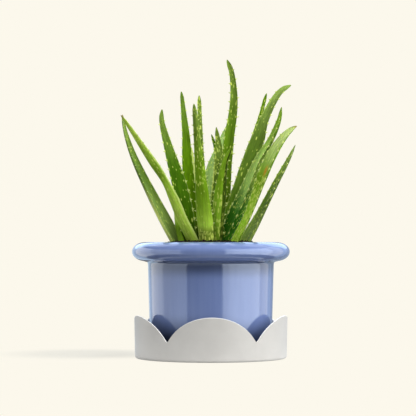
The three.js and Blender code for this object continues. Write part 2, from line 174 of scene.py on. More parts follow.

# Each leaf repeats the source's midline, from foot to tip, and its widths at equal steps along it, in
# millimetres. faces is the direction of its rounded back in degrees: 0 is the front and 90 is the right.
# The look has the greens of its back and of its channel at the foot, the middle and the top, and the share
# of flecks on the two faces. Where a leaf needs them, it also has: teeth, their size; dashes, how long its
# flecks are; clear_reach, the part of the length with hardly a fleck; fleck_zone, foot_flecks and
# foot_tone, the part at the foot that has more flecks, their share and the tone under them; foot_reach, the
# part that the foot's green reaches; foot_light and flank_light, painted shade at the foot and on the right
# flank; plus_light, the painted light on the side towards the first margin against the other side; line, a
# pale line along the first margin, or with a minus the second; tooth_spots; mark_place, a rusty mark;
# dry_length of the tip.
LEAVES = {
    "leaf_outer_left": dict(
        faces=-120, thick=0.45, widths=[18, 17.5, 14, 9.4, 4.2],
        line=[(-27.9, -2, 103.4), (-36.2, -1.5, 117.4), (-57.5, 2, 157.4), (-76.7, 7, 197.4),
            (-84.2, 10, 217.9), (-87.7, 12.5, 231.4), (-89.5, 15, 244.4)],
        look=dict(back="yellow deep_olive olive", channel="grey deep_olive olive", flecks=(0.1, 0.12),
            foot_reach=0.57, foot_light=0.85, plus_light=1.2, teeth=0.5, tooth_spots=0, dry_length=5)),
    "leaf_bent_left": dict(
        faces=-55, widths=[15, 16, 15.5, 14.5, 10.4, 11.8, 9.6, 6.8, 4],
        line=[(-11.9, -13, 103.4), (-19.6, -16, 117.4), (-29.6, -20, 137.4), (-37.3, -25, 156.9),
            (-46.6, -30, 176.4), (-59.3, -35, 195.7), (-71.9, -41, 215), (-87.7, -50, 238.9)],
        look=dict(back="spring fresh spring", channel="leaf leaf fresh", flecks=(0.35, 0.3),
            foot_reach=0.62, foot_light=0.8, line=0.6, teeth=0.6, dry_length=6)),
    "leaf_short_left": dict(
        faces=-60, widths=[9, 9, 7, 4, 1.8],
        line=[(-26.2, -14.5, 104.4), (-30.4, -11.5, 117.4), (-34.7, -7.3, 134.4), (-36.7, -6.3, 151.4)],
        look=dict(back="fresh fresh yellow", channel="moss leaf olive", flecks=(0.2, 0.2),
            foot_light=0.8)),
    "leaf_broad_left": dict(
        faces=-150, widths=[16, 18.5, 16.2, 9.9, 4.6],
        line=[(-18.8, -1.5, 103.4), (-22.4, -0.5, 117.4), (-29.2, 3, 157.4), (-35.4, 7, 182.4),
            (-44, 12, 212.9), (-50.2, 16, 239.4), (-49.5, 17, 249.9)],
        look=dict(back="leaf leaf leaf", channel="moss moss olive", flecks=(0.1, 0.08), foot_light=0.45,
            line=-0.12, tooth_spots=0.7)),
    "leaf_tall_left": dict(
        faces=-160, widths=[13, 14, 12, 7.8, 3.8],
        line=[(-12.9, 10, 103.4), (-15.2, 12, 117.4), (-20.6, 20, 155.4), (-24.4, 29, 193.7),
            (-25.9, 38, 224), (-28.6, 50, 251.4), (-30.6, 58, 271.7)],
        look=dict(back="leaf leaf leaf", channel="grass grass deep_olive", flecks=(0.05, 0.05),
            foot_light=0.45, tooth_spots=0.5)),
    "leaf_pale_left": dict(
        faces=-165, widths=[9, 9.5, 9, 6, 2.2],
        line=[(-14.4, 21, 103.4), (-14.9, 23, 117.4), (-16.9, 38, 160.4), (-20, 60, 214.2)],
        look=dict(back="spring yellow yellow", channel="yellow tooth_spot yellow", flecks=(0.1, 0.4))),
    "leaf_front": dict(
        faces=-8, widths=[14, 15.8, 11.4, 7.2, 4],
        line=[(-3.4, -22, 101.4), (-4.4, -25, 117.4), (-8.4, -37, 156.4), (-11.8, -50, 195.1),
            (-16.5, -72, 248)],
        look=dict(back="spring meadow olive", channel="leaf leaf olive", flecks=(0.45, 0.35),
            clear_reach=0.5, foot_flecks=0.85, dashes=0.9, fleck_zone=0.185, foot_tone=0.35,
            foot_light=1.4, line=-0.3, tooth_spots=0.6)),
    "leaf_slim_middle": dict(
        faces=180, widths=[11, 11, 8.8, 5.4, 4],
        line=[(-3.4, 3, 103.4), (-3.9, 4, 117.4), (-7.4, 10, 155.4), (-10.1, 17, 193.4),
            (-10.9, 24, 229.4), (-12, 33, 265.4)],
        look=dict(back="leaf olive leaf", channel="moss deep_olive olive", flecks=(0.4, 0.7),
            foot_light=0.5, line=0.4, tooth_spots=0.6)),
    "leaf_pale_back": dict(
        faces=165, widths=[10, 12, 12.5, 8.5, 2.4],
        line=[(-1.9, 21, 103.4), (-1.9, 23, 117.4), (-1.9, 32, 155.4), (1.1, 44, 189.6), (6.6, 51, 205.8),
            (12.7, 59, 224), (20.3, 68, 242.3)],
        look=dict(back="grey sage sage", channel="grey sage sage", flecks=(0.2, 0.3), foot_light=0.7,
            line=-0.5)),
    "leaf_inner": dict(
        faces=160, widths=[8, 11, 11.5, 9.5, 3.4],
        line=[(-0.9, -5.5, 103.4), (0.1, -5, 117.4), (4.6, -3.5, 147.4), (8.6, -2, 177.4), (9.1, 0, 202.4),
            (7.4, 1, 217.4), (5.4, 2, 230.8)],
        look=dict(back="leaf olive olive", channel="shade deep_olive olive", flecks=(0.4, 0.5),
            foot_light=0.4)),
    "leaf_thin_inner": dict(
        faces=170, widths=[6, 5.5, 4.5, 3.6, 3],
        line=[(0.1, 13, 103.4), (0.6, 14, 117.4), (2.1, 15, 157.4), (4.1, 15, 182.4), (5.2, 16, 200.4),
            (4.2, 17, 212.4), (0.6, 18, 224.6)],
        look=dict(back="leaf leaf moss", channel="pale yellow moss", flecks=(0.4, 0.6), foot_light=0.8)),
    "leaf_curved_front": dict(
        faces=10, widths=[8.5, 11, 12.5, 8, 3],
        line=[(5.1, -18, 103.4), (6.8, -20, 117.4), (7.9, -25, 142.4), (10.9, -32, 176.4),
            (14.6, -38, 195.7), (20, -45, 208.1)],
        look=dict(back="lime meadow fresh", channel="moss deep_olive leaf", flecks=(0.15, 0.3),
            foot_flecks=0.65, dashes=1.2, fleck_zone=0.58, foot_tone=0.8, foot_light=0.65, foot_reach=0.72,
            flank_light=0.2, line=0.5, tooth_spots=0.9)),
    "leaf_tallest": dict(
        faces=170, widths=[12, 13.4, 11.4, 8.6, 4.4],
        line=[(12.6, 16, 103.4), (13.1, 17, 117.4), (14.7, 20, 178.4), (18.6, 23, 218.4),
            (23.4, 25, 254.4), (23.1, 26, 274.4), (21, 27, 289.4), (16.4, 28, 301.4)],
        look=dict(back="leaf leaf fresh", channel="grass leaf olive", flecks=(0.2, 0.25), foot_light=0.6,
            plus_light=1.2, tooth_spots=0.6)),
    "leaf_arched_right": dict(
        faces=150, widths=[15, 17, 17.5, 17.4, 17.6, 16.4, 10.6, 8.2, 4.6],
        line=[(9.4, 5, 103.4), (13.2, 5.5, 117.4), (26.9, 9, 157.4), (41, 13, 198.1), (48.2, 16, 218.2),
            (54.7, 18, 238.8), (64.4, 21, 259), (72.2, 23, 269.4), (81.6, 25, 275.2)],
        look=dict(back="leaf leaf fresh", channel="moss deep_olive grey", flecks=(0.1, 0.06),
            foot_light=0.75, plus_light=1.2, line=0.15, tooth_spots=0.4)),
    "leaf_slim_right": dict(
        faces=140, widths=[9, 9, 8, 5.8, 4.2],
        line=[(15.6, 24, 103.4), (17.6, 26, 117.4), (24.6, 36, 158.4), (40.1, 48, 210.2),
            (51.7, 57, 245.9), (58.1, 64, 270.4)],
        look=dict(back="leaf leaf leaf", channel="leaf leaf grass", flecks=(0.3, 0.6), foot_light=0.5,
            line=0.6, tooth_spots=0.6)),
    "leaf_toothed_right": dict(
        faces=112, thick=0.6, widths=[12, 16.5, 19.2, 19.2, 15.5, 11, 8.6, 7, 3.6],
        line=[(10, -7.5, 103.4), (14.3, -10, 117.4), (23.2, -16, 137.4), (32.5, -21, 156.9),
            (40, -26, 176.4), (47.6, -32, 196.2), (59, -38, 215), (66.9, -44, 234.8), (68.8, -48, 246.9)],
        look=dict(back="shade olive leaf", channel="shade milky fresh", flecks=(0.35, 0.3),
            foot_reach=0.58, plus_light=0.88, line=0.25, tooth_spots=1.0)),
    "leaf_pale_right": dict(
        faces=125, thick=0.45, widths=[11, 10.5, 10.2, 10.8, 12, 14.5, 14.2, 10.5, 4.6],
        line=[(18.2, -19, 103.4), (25, -23.5, 117.4), (35, -32.5, 137.4), (42.9, -40.5, 156.9),
            (50.3, -45.2, 176.9), (58.4, -45.8, 196.2), (70.3, -44.6, 216), (78.8, -44.6, 225.1),
            (83.8, -45, 228.6)],
        look=dict(back="grass leaf fresh", channel="lime meadow pale_sage", flecks=(0.1, 0.15),
            foot_flecks=0.75, dashes=0.8, fleck_zone=0.62, foot_reach=0.6, mark_place=0.63,
            tooth_spots=0.8, dry_length=5)),
    "leaf_outer_right": dict(
        faces=115, thick=0.45, widths=[17, 17, 15.5, 12.8, 11.5, 10.2, 8.6, 6, 3],
        line=[(27.8, -1, 103.4), (35.8, -1, 117.4), (47, 0, 137.4), (57.1, 1, 157.4), (67.5, 3, 177.9),
            (78, 4, 197.9), (85, 6, 213.4)],
        look=dict(back="grey deep_olive olive", channel="grey deep_olive olive", flecks=(0.35, 0.35),
            foot_reach=0.5, plus_light=1.25, line=0.3, tooth_spots=0.4)),
}


def reckoned(operation, swapped=False):
    """An operator's method, which adds a maths node for a value and another."""
    def method(self, other):
        return self.graph.math(operation, *((other, self) if swapped else (self, other)))
    return method


class Value:
    """An output socket to reckon with as with a number."""

    def __init__(self, graph, socket):
        self.graph, self.socket = graph, socket

    def __abs__(self):
        return self.graph.math("ABSOLUTE", self)

    __add__, __radd__ = reckoned("ADD"), reckoned("ADD", True)
    __sub__, __rsub__ = reckoned("SUBTRACT"), reckoned("SUBTRACT", True)
    __mul__, __rmul__ = reckoned("MULTIPLY"), reckoned("MULTIPLY", True)
    __truediv__, __rtruediv__ = reckoned("DIVIDE"), reckoned("DIVIDE", True)
    __pow__, __lt__, __gt__ = reckoned("POWER"), reckoned("LESS_THAN"), reckoned("GREATER_THAN")


class Graph:
    """Adds nodes to a node tree and links them as it goes."""

    def __init__(self, tree):
        self.tree = tree

    def feed(self, socket, value):
        value = value.socket if isinstance(value, Value) else value
        if isinstance(value, bpy.types.NodeSocket):
            self.tree.links.new(value, socket)
        else:
            socket.default_value = value

    def node(self, kind, inputs=(), **settings):
        made = self.tree.nodes.new(kind)
        for name, value in settings.items():
            setattr(made, name, value)
        for key, value in dict(inputs).items():
            self.feed(made.inputs[key], value)
        return made

    def value(self, kind, inputs=(), output=0, **settings):
        return Value(self, self.node(kind, inputs, **settings).outputs[output])

    def named(self, sockets):
        return {socket.name: Value(self, socket) for socket in sockets}

    def math(self, operation, *values, clamp=False):
        return self.value("ShaderNodeMath", enumerate(values), operation=operation, use_clamp=clamp)

    def scaled(self, vector, factor):
        return self.value("ShaderNodeVectorMath", {0: vector, "Scale": factor}, operation="SCALE")

    def joined(self, *parts):
        return self.value("ShaderNodeCombineXYZ", enumerate(parts))

    def parts(self, vector):
        return [Value(self, part) for part in self.node("ShaderNodeSeparateXYZ", {0: vector}).outputs]

    def ranged(self, value, low, high, to_low=0.0, to_high=1.0, kind="SMOOTHSTEP"):
        limits = {"Value": value, "From Min": low, "From Max": high, "To Min": to_low, "To Max": to_high}
        return self.value("ShaderNodeMapRange", limits, interpolation_type=kind)

    def blended(self, factor, first, second):
        return self.value("ShaderNodeMix", {0: factor, 6: first, 7: second}, 2, data_type="RGBA")

    def mixed(self, factor, first, second):
        return self.value("ShaderNodeMixShader", enumerate((factor, first, second)))

    def noise(self, place, scale, detail, roughness):
        return self.value("ShaderNodeTexNoise", {
            "Vector": place, "Scale": scale, "Detail": detail, "Roughness": roughness})

    def place(self):
        return self.value("ShaderNodeTexCoord", output="Object")

    def attribute(self, name):
        return self.value("ShaderNodeAttribute", output="Vector", attribute_name=name,
                          attribute_type="GEOMETRY")

    def group(self, tree, **values):
        inputs = {name.replace("_", " ").capitalize(): value for name, value in values.items()}
        return self.named(self.node("ShaderNodeGroup", inputs, node_tree=tree).outputs)

    def surface(self, shader, colour, roughness, relief, height, strength):
        """Feeds a shader its colour, its roughness and a relief of a height in millimetres."""
        bump = self.value("ShaderNodeBump", {"Height": relief, "Distance": height * MM, "Strength": strength})
        for label, value in (("Base Color", colour), ("Roughness", roughness), ("Normal", bump)):
            self.feed(shader[label], value)

    def read(self, name):
        return self.value("GeometryNodeInputNamedAttribute", {"Name": name}, data_type="FLOAT_VECTOR")

    def marked(self, name, geometry, number):
        """The geometry with a number on each point, as the first part of a named vector."""
        values = {"Geometry": geometry, "Name": name, "Value": self.joined(number, 0.0, 0.0)}
        return self.value("GeometryNodeStoreNamedAttribute", values, data_type="FLOAT_VECTOR", domain="POINT")

    def coated(self, geometry, material):
        return self.value("GeometryNodeSetMaterial", {"Geometry": geometry, "Material": material})

    def together(self, *geometries):
        made = self.node("GeometryNodeJoinGeometry")
        for geometry in geometries:
            self.feed(made.inputs[0], geometry)
        return made.outputs[0]


def node_tree(name, kind, inputs, outputs):
    """An empty node tree with its graph, inputs and outputs. An input is given as its default or its kind."""
    tree = bpy.data.node_groups.new(name, kind)
    for way, sockets in (("INPUT", inputs), ("OUTPUT", outputs)):
        for label, value in sockets.items():
            is_kind = isinstance(value, str)
            title = value if is_kind else "Int" if isinstance(value, int) else "Float"
            socket = tree.interface.new_socket(label, in_out=way, socket_type="NodeSocket" + title)
            if not is_kind:
                socket.default_value = value
    graph = Graph(tree)
    given = graph.named(graph.node("NodeGroupInput").outputs)
    return tree, graph, given, graph.node("NodeGroupOutput").inputs


def geometry_tree(name, **inputs):
    """A geometry node tree, with each input's default number or the name of its kind."""
    labels = {label.replace("_", " ").capitalize(): value for label, value in inputs.items()}
    geometry = {"Geometry": "Geometry"}
    return node_tree(name, "GeometryNodeTree", {**geometry, **labels}, geometry)


def flecks_group():
    """Pale flecks along a leaf, longer than wide. Place is across, along and face, in millimetres."""
    tree, graph, given, out = node_tree("flecks", "ShaderNodeTree", {
        "Place": "Vector", "Length": 4.0, "Width": 2.2, "Amount": 0.3, "Size": 1.0, "Shift": 0.0},
        {"Mask": "Float"})
    across, along, face = graph.parts(given["Place"])
    place = graph.joined(across / given["Width"] + face * 40.0, along / given["Length"] + given["Shift"], 0.0)
    cell = graph.node("ShaderNodeTexVoronoi", {"Vector": place, "Scale": 1.0, "Randomness": 0.85},
                      voronoi_dimensions="2D", feature="F1")
    chance, chosen_size, chosen_strength = graph.parts(cell.outputs["Color"])
    reach = given["Size"] * graph.ranged(chosen_size, 0.0, 1.0, 0.22, 0.4, "LINEAR")
    spot = graph.ranged(cell.outputs["Distance"], reach * 0.6, reach, 1.0, 0.0)
    strength = graph.ranged(chosen_strength, 0.0, 1.0, 0.55, 1.0, "LINEAR")
    graph.feed(out["Mask"], spot * (chance < given["Amount"]) * strength)
    return tree


def streaks_group():
    """Fine lines that run along a leaf, and slow changes of tone over it."""
    tree, graph, given, out = node_tree("streaks", "ShaderNodeTree", {
        "Place": "Vector", "Line width": 0.8, "Shift": 0.0}, {"Lines": "Float", "Tone": "Float"})
    across, along, face = graph.parts(given["Place"])
    fine = graph.joined(across / given["Line width"] + given["Shift"], along * 0.07, face * 5.0)
    slow = graph.joined(across * 0.12 + given["Shift"], along * 0.035, face)
    graph.feed(out["Lines"], graph.noise(fine, 1.0, 3.0, 0.65))
    graph.feed(out["Tone"], graph.noise(slow, 1.0, 2.0, 0.5))
    return tree


def grain_group():
    """Fine even grain of a skin or a coating, and larger uneven patches."""
    tree, graph, given, out = node_tree(
        "grain", "ShaderNodeTree", {"Scale": 1500.0}, {"Fine": "Float", "Patches": "Float"})
    place = graph.place()
    graph.feed(out["Fine"], graph.noise(place, given["Scale"], 3.0, 0.65) - 0.5)
    graph.feed(out["Patches"], graph.noise(place, given["Scale"] * 0.03, 3.0, 0.55) - 0.5)
    return tree


def leaf_skin_group(flecks, streaks, grain):
    """What all leaf skins share: tones along both faces, streaks, flecks, spots, a dry tip, painted shade and
    light.
    """
    greens = {f"{face} {part}": "Color" for face in ("Back", "Channel") for part in ("foot", "middle", "top")}
    tree, graph, given, out = node_tree("leaf_skin", "ShaderNodeTree", {
        **greens, "Back flecks": 0.2, "Channel flecks": 0.2, "Foot flecks": 0.0, "Fleck zone": 0.2,
        "Foot tone": 1.0, "Foot reach": 0.42, "Foot light": 1.0, "Flank light": 1.0, "Plus light": 1.0,
        "Tooth spots": 0.15, "Right line": 0.0, "Left line": 0.0, "Dry length": 0.8, "Mark place": 0.0,
        "Clear reach": 0.0, "Dashes": 0.5, "Shift": 0.0},
        {"Color": "Color", "Roughness": "Float", "Relief": "Float"})
    place = graph.attribute("leaf_place")
    across, along, face = graph.parts(place)
    edge, to_tip, length_part = graph.parts(graph.attribute("leaf_shape"))
    height, from_tooth, to_right = graph.parts(graph.attribute("leaf_height"))
    lines_of = graph.group(streaks, place=place, line_width=1.5, shift=given["Shift"])
    fine = graph.group(grain, scale=1900.0)

    wavy = length_part + (lines_of["Tone"] - 0.5) * 0.15
    tones = []
    for side in ("Back", "Channel"):
        above_foot = graph.ranged(wavy, given["Foot reach"] - 0.32, given["Foot reach"])
        low = graph.blended(above_foot, given[f"{side} foot"], given[f"{side} middle"])
        tones.append(graph.blended(graph.ranged(wavy, 0.55, 0.95), low, given[f"{side} top"]))
    colour = graph.blended(graph.ranged(face, 0.35, 0.65), tones[1], tones[0])
    tone = graph.ranged(lines_of["Tone"], 0.3, 0.7, 0.8, 1.2, "LINEAR")
    lines = graph.ranged(lines_of["Lines"], 0.3, 0.7, 1.28, 0.72, "LINEAR")
    # Painted shade at the foot and on the right flank, and painted light on one side against the other
    shade = graph.ranged(height, 118.0, 146.0, given["Foot light"], 1.0)
    sideways = edge * graph.math("MULTIPLY_ADD", to_right, 2.0, -1.0)
    flank = graph.ranged(sideways * face, 0.15, 0.4, 1.0, given["Flank light"])
    towards = graph.ranged(sideways, -0.9, 0.8, 1.0 / given["Plus light"], given["Plus light"])
    speckled = graph.ranged(length_part, given["Fleck zone"] - 0.03, given["Fleck zone"] + 0.03, 1.0, 0.0)
    under_flecks = 1.0 - speckled * (1.0 - given["Foot tone"])
    dimmed = tone * lines * (shade * flank)
    dimmed = dimmed * (towards * under_flecks)
    colour = graph.scaled(colour, dimmed)

    amount = graph.ranged(face, 0.3, 0.7, given["Channel flecks"], given["Back flecks"])
    above_clear = length_part - given["Clear reach"]
    amount = amount * graph.ranged(above_clear, -0.1, 0.1, 0.15, 1.0)
    amount = graph.math("MAXIMUM", amount, speckled * given["Foot flecks"])
    longer = (given["Dashes"] - 0.5) * 0.4
    size = 1.0 + speckled * longer
    few = graph.group(flecks, place=place, length=7.0, width=2.2, size=size, shift=given["Shift"],
        amount=amount * given["Dashes"])
    many_amount = amount * (1.5 - given["Dashes"])
    many = graph.group(flecks, place=place, length=4.0, width=1.5, amount=many_amount, size=size,
        shift=given["Shift"] + 31.0)
    fleck = graph.math("MAXIMUM", few["Mask"], many["Mask"] * 0.8)
    at_margin = graph.ranged(edge, graph.ranged(face, 0.0, 1.0, 0.84, 0.985),
        graph.ranged(face, 0.0, 1.0, 0.94, 0.996))
    near_tooth = graph.ranged(from_tooth, 1.0, 2.6, 1.0, 0.0) * graph.ranged(height, 118.0, 134.0)
    at_tooth = near_tooth * at_margin
    line_share = graph.ranged(to_right, 0.45, 0.55, given["Left line"], given["Right line"], "LINEAR")
    line = graph.ranged(edge, 0.88, 0.97) * line_share
    pale = graph.math("MAXIMUM", line, at_tooth * given["Tooth spots"])
    # The painted shade also dims the flecks and the pale marks
    light = shade * flank
    colour = graph.blended(fleck * light ** 0.6, colour, FLECK)
    colour = graph.blended(pale * light, colour, TOOTH_SPOT)

    from_mark = abs(length_part - given["Mark place"])
    from_side = abs(sideways + 0.3)
    streak = graph.ranged(from_mark, 0.0, 0.055, 1.0, 0.0) * graph.ranged(from_side, 0.1, 0.4, 1.0, 0.0)
    marked = streak * (given["Mark place"] > 0.01)
    colour = graph.blended(marked * 0.7, colour, RUST)
    dry = graph.ranged(to_tip, 0.0, given["Dry length"], 0.8, 0.0)
    graph.feed(out["Color"], graph.blended(dry, colour, DRY_BROWN))

    rough = 0.5 + fine["Patches"] * 0.3
    graph.feed(out["Roughness"], rough - fleck * 0.08)
    relief = lines_of["Lines"] * 0.6 + fleck * 0.5
    graph.feed(out["Relief"], relief + fine["Fine"] * 0.25)
    return tree


GRAIN = grain_group()
LEAF_SKIN = leaf_skin_group(flecks_group(), streaks_group(), GRAIN)


def new_material(name, **settings):
    """A material with its graph and its principled shader, whose plain values are set on its own sockets."""
    material = bpy.data.materials.new(name)
    material.use_nodes = True
    graph = Graph(material.node_tree)
    shader = material.node_tree.nodes["Principled BSDF"]
    for label, value in settings.items():
        shader.inputs[label.replace("_", " ")].default_value = value
    return material, graph, shader.inputs


def leaf_skin(name, look, shift):
    """The waxy skin of one leaf, with its own greens and flecks."""
    _, graph, skin = material = new_material(
        name, IOR=1.42, Specular_IOR_Level=0.05, Subsurface_Weight=0.05, Subsurface_Radius=(0.9, 1.0, 0.1),
        Subsurface_Scale=0.0012)
    values = dict(look)
    values.pop("teeth", None)
    line = values.pop("line", 0)
    values["back_flecks"], values["channel_flecks"] = values.pop("flecks")
    for face in ("back", "channel"):
        for part, green in zip(("foot", "middle", "top"), values.pop(face).split()):
            values[f"{face}_{part}"] = GREENS[green]
    made = graph.group(LEAF_SKIN, right_line=max(0, line), left_line=max(0, -line), shift=shift, **values)
    graph.surface(skin, made["Color"], made["Roughness"], made["Relief"], 0.12, 0.6)
    return material[0]


def tooth_horn():
    """The pale horn of the teeth, greener at their root."""
    material, graph, skin = new_material(
        "tooth_horn", IOR=1.45, Subsurface_Weight=0.15, Subsurface_Radius=(1.0, 1.0, 0.6),
        Subsurface_Scale=0.001)
    grain = graph.group(GRAIN, scale=2600.0)
    up = graph.parts(graph.attribute("tooth_part"))[0]
    colour = graph.blended(graph.ranged(up, 0.0, 0.4), FLECK, HORN)
    colour = graph.blended(graph.ranged(up, 0.9, 1.0, 0.0, 0.25), colour, RUST)
    graph.surface(skin, colour, 0.42 + grain["Patches"] * 0.2, grain["Fine"], 0.04, 0.4)
    return material


def pot_glaze():
    """Blue glaze with deeper runs, and painted shade under the rim and at the foot, there lower on the right.
    """
    material, graph, glaze = new_material(
        "pot_glaze", IOR=1.85, Specular_Tint=GLAZE_SHEEN, Coat_Roughness=0.05, Coat_IOR=1.5)
    x, y, z = graph.parts(graph.place())
    runs = graph.noise(graph.joined(x, y, z * 0.06), 130.0, 3.0, 0.55)
    grain = graph.group(GRAIN, scale=900.0)
    colour = graph.blended(graph.ranged(runs, 0.3, 0.7, 0.0, 0.6, "LINEAR"), GLAZE_BLUE, GLAZE_DEEP)
    colour = graph.blended(graph.ranged(grain["Fine"], 0.1, 0.3, 0.0, 0.1), colour, GLAZE_SPECK)
    # Painted shade: darker under the rim and at the foot, where it also dims the coat and the gloss
    corner_painted_shade = graph.ranged(z, *CORNER_SHADE_START) * graph.ranged(z, *CORNER_SHADE_END, 1.0, 0.0)
    tilted = z + graph.math("MAXIMUM", x, 0.0) * FOOT_SHADE_TILT
    foot_painted_shade = graph.ranged(tilted, *FOOT_SHADE, 0.04, 1.0)
    graph.feed(glaze["Coat Weight"], foot_painted_shade * 0.3)
    graph.feed(glaze["Specular IOR Level"], foot_painted_shade * 0.5)
    graph.surface(glaze, graph.scaled(colour, foot_painted_shade * (1.0 - corner_painted_shade * 0.6)),
                  0.12 + grain["Patches"] * 0.08, runs * 0.6 + grain["Patches"] * 0.6, 0.2, 0.3)
    return material


def tray_coat():
    """Pale grey powder coat with the fine texture that such a coat has, and a painted highlight on its top
    edge.
    """
    material, graph, coat = new_material("tray_powder_coat", IOR=1.5, Metallic=0.0)
    grain = graph.group(GRAIN, scale=1400.0)
    colour = graph.blended(graph.ranged(grain["Patches"], -0.25, 0.25), TRAY_GREY, TRAY_DARK)
    colour = graph.blended(graph.ranged(grain["Fine"], 0.0, 0.3, 0.0, 0.3), colour, TRAY_PALE)
    edge = graph.parts(graph.attribute("edge_highlight_part"))[0]
    # Painted highlight along the top edge, where light catches it
    colour = graph.blended(graph.ranged(edge, 0.3, 0.9), colour, TRAY_EDGE_HIGHLIGHT)
    graph.surface(coat, colour, 0.52 + grain["Fine"] * 0.2, grain["Fine"], 0.05, 0.35)
    return material


def soil_crumb():
    """Dark potting mix with a few lighter fibres."""
    material, graph, earth = new_material("soil_crumb", IOR=1.4, Specular_IOR_Level=0.25)
    grain = graph.group(GRAIN, scale=700.0)
    colour = graph.blended(graph.ranged(grain["Patches"], -0.2, 0.25), SOIL_DARK, SOIL_LIGHT)
    colour = graph.blended(graph.ranged(grain["Fine"], 0.15, 0.3, 0.0, 0.5), colour, SOIL_FIBRE)
    graph.surface(earth, colour, 0.9 + grain["Fine"] * 0.2, grain["Fine"], 0.5, 0.8)
    return material


def linked(name, data):
    """A new object in the scene with the given mesh, light or camera."""
    made = bpy.data.objects.new(name, data)
    bpy.context.scene.collection.objects.link(made)
    return made


def mesh_object(name, points, faces, attributes=()):
    """A smooth mesh object with its points in metres, and its named vectors, one for each point."""
    mesh = bpy.data.meshes.new(name)
    mesh.from_pydata([tuple(p) for p in points], [], faces)
    for label, values in attributes:
        made = mesh.attributes.new(label, "FLOAT_VECTOR", "POINT")
        made.data.foreach_set("vector", np.asarray(values, dtype=np.float32).ravel())
    mesh.polygons.foreach_set("use_smooth", [True] * len(mesh.polygons))
    mesh.update()
    return linked(name, mesh)


def finished(source, name):
    """The evaluated mesh of an object as a plain object, and the object itself is removed."""
    graph = bpy.context.evaluated_depsgraph_get()
    mesh = bpy.data.meshes.new_from_object(
        source.evaluated_get(graph), preserve_all_data_layers=True, depsgraph=graph)
    bpy.data.objects.remove(source)
    mesh.name = name
    return linked(name, mesh)


def add_tree(target, tree, **values):
    """Puts the tree on an object as a modifier and sets its inputs by their identifiers."""
    modifier = target.modifiers.new(tree.name, "NODES")
    modifier.node_group = tree
    wanted = {label.replace("_", " "): value for label, value in values.items()}
    for item in tree.interface.items_tree:
        if item.in_out == "INPUT" and item.name.lower() in wanted:
            modifier[item.identifier] = wanted[item.name.lower()]


# Curves: the same two kinds that the source uses, so that each leaf keeps its form

def centripetal(points, t):
    """A point on the centripetal curve through the points, at part t of its parameter."""
    last = len(points) - 1
    spot = last * t
    i = min(int(spot), last - 1)
    w = spot - i
    p1, p2 = points[i], points[i + 1]
    p0 = points[i - 1] if i > 0 else 2 * p1 - p2
    p3 = points[i + 2] if i + 2 <= last else 2 * p2 - p1
    d0, d1, d2 = (math.sqrt(np.linalg.norm(b - a)) for a, b in ((p0, p1), (p1, p2), (p2, p3)))
    m1 = ((p1 - p0) / d0 - (p2 - p0) / (d0 + d1) + (p2 - p1) / d1) * d1
    m2 = ((p2 - p1) / d1 - (p3 - p1) / (d1 + d2) + (p3 - p2) / d2) * d1
    return p1 + m1 * w + (3 * (p2 - p1) - 2 * m1 - m2) * w**2 + (2 * (p1 - p2) + m1 + m2) * w**3


def spline_value(values, t):
    """A value on the uniform curve through the values."""
    last = len(values) - 1
    spot = last * t
    i = min(int(spot), last - 1)
    w = spot - i
    v0, v1, v2, v3 = values[max(i - 1, 0)], values[i], values[i + 1], values[min(i + 2, last)]
    m1, m2 = (v2 - v0) / 2, (v3 - v1) / 2
    return v1 + m1 * w + (3 * (v2 - v1) - 2 * m1 - m2) * w**2 + (2 * (v1 - v2) + m1 + m2) * w**3


class Leaf:
    """The midline, width and directions of one leaf at any part of its length, in millimetres."""

    def __init__(self, faces, widths, line, thick=THICKNESS_RATIO, look=None):
        points = [np.array(p, dtype=float) for p in line]
        self.samples = np.array([centripetal(points, k / CURVE_SAMPLES) for k in range(CURVE_SAMPLES + 1)])
        steps = np.linalg.norm(np.diff(self.samples, axis=0), axis=1)
        self.travel = np.concatenate([[0], np.cumsum(steps)])
        self.length = self.travel[-1]
        self.widths = widths
        self.thick = thick
        self.look = look
        turn = math.radians(faces)
        self.outward = np.array([math.sin(turn), -math.cos(turn), 0])

    def at(self, t):
        spot = t * self.length
        return np.array([np.interp(spot, self.travel, self.samples[:, axis]) for axis in range(3)])

    def frame(self, t):
        near = 0.4 / self.length
        along = self.at(min(1, t + near)) - self.at(max(0, t - near))
        along /= np.linalg.norm(along)
        back = self.outward - along * np.dot(self.outward, along)
        back /= np.linalg.norm(back)
        return along, back, np.cross(along, back)

    def width(self, t):
        to_tip = (1 - t) * self.length
        return spline_value(self.widths, t) * math.sqrt(min(1, to_tip / TIP_TAPER))


def section_point(angle):
    """Across, from -1 to 1, through and face of the leaf's section at an angle round it."""
    across = math.cos(angle)
    if math.sin(angle) >= 0:
        rise = max(0.0, 1 - across**2) ** (1 / BACK_FULLNESS)
        return across, MARGIN_THROUGH + BACK_HEIGHT * rise, 1
    return across, MARGIN_THROUGH + CHANNEL_RISE * (1 - across**2), 0


def girth(section, thick):
    """How far each point of the section is from its face's middle, round the surface of a leaf 1 mm wide."""
    flat = np.array([(across / 2, through * thick) for across, through, _ in section])
    steps = np.linalg.norm(np.roll(flat, -1, axis=0) - flat, axis=1)
    travel = np.cumsum(steps) - steps
    half, whole = travel[len(section) // 2], steps.sum()
    return [spot - half / 2 if face else (half + whole) / 2 - spot
            for spot, (_, _, face) in zip(travel, section)]


def leaf_places(leaf):
    """Where the rings of a fine leaf lie along it: even steps, and closer ones at the tip."""
    count = round((leaf.length - TIP_TAPER) / LEAF_STEP)
    even = [k / count * (1 - TIP_TAPER / leaf.length) for k in range(count)]
    tip = [1 - TIP_TAPER / leaf.length * (1 - k / TIP_STEPS) ** 1.6 for k in range(TIP_STEPS)]
    return even + tip


